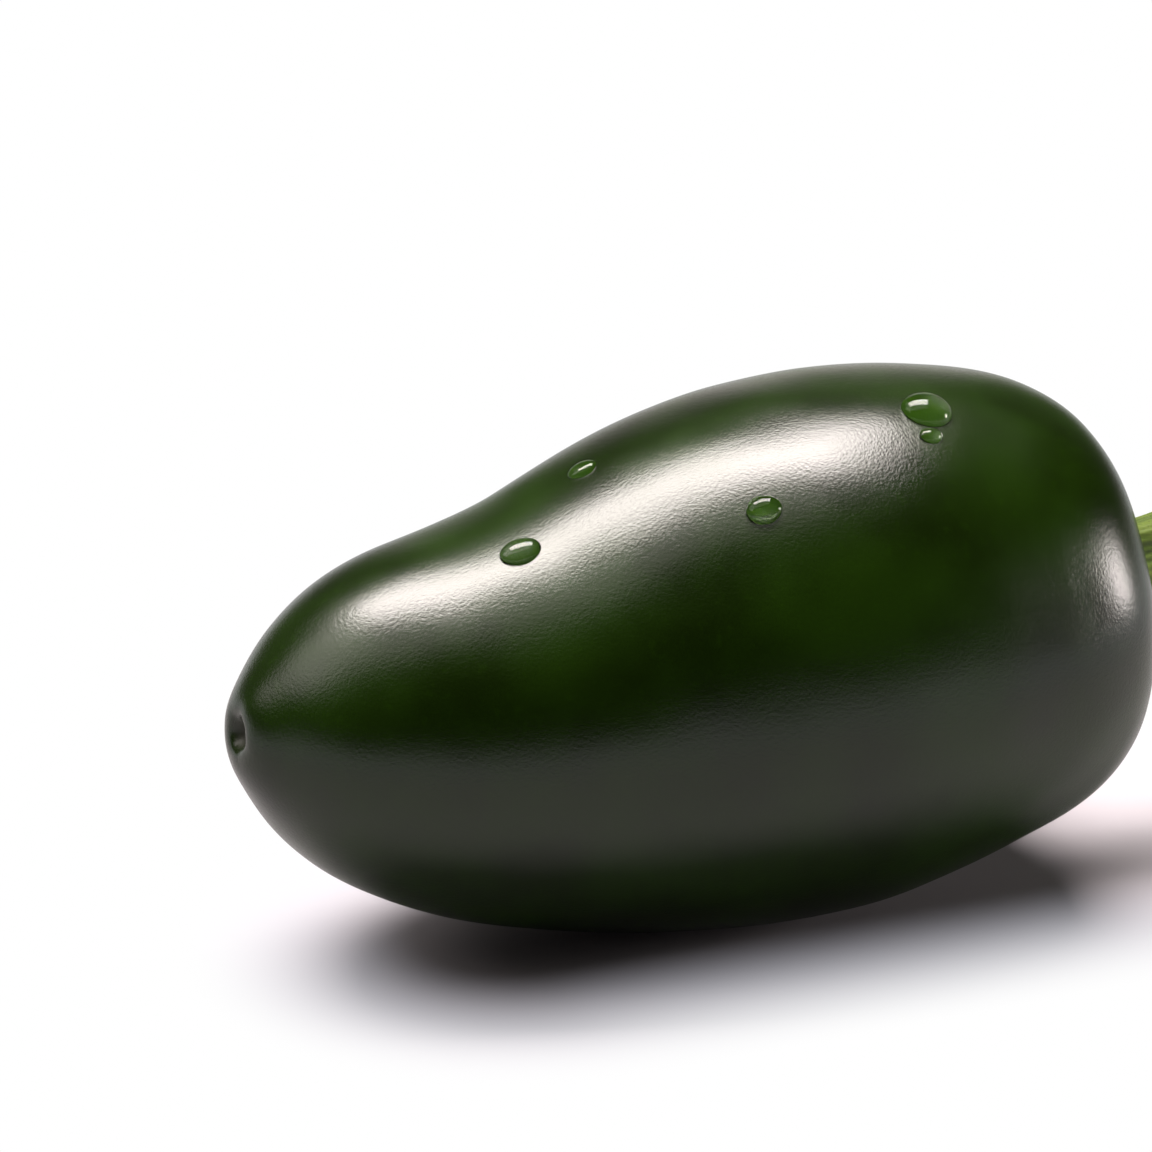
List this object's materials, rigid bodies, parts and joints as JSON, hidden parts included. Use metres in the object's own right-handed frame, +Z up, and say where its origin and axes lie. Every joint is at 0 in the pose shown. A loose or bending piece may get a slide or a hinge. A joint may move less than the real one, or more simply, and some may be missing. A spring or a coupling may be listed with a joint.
{
  "type": "jalapeno chilli pepper",
  "caption": "Plump dark green jalapeno chilli pepper lying on its side, with a pitted tip, a green calyx, a ridged stem and small drops of water on its glossy skin.",
  "frame": {"origin": "on the surface that the pepper lies on, under the middle of the whole object's box", "axes": "+Z up from the surface; +X along the pod, from the blossom tip towards the stem's cut end"},
  "size_m": [0.095, 0.0424, 0.0427],
  "materials": {
    "skin": "gloss",
    "calyx": "satin",
    "stem": "matte",
    "water": "polished"
  },
  "bodies": {
    "root": {"pod": "skin", "calyx": "calyx", "stem": "stem", "drop_tip": "water", "drop_waist": "water", "drop_middle": "water", "drop_shoulder": "water", "drop_shoulder_small": "water"}
  },
  "joints": []
}
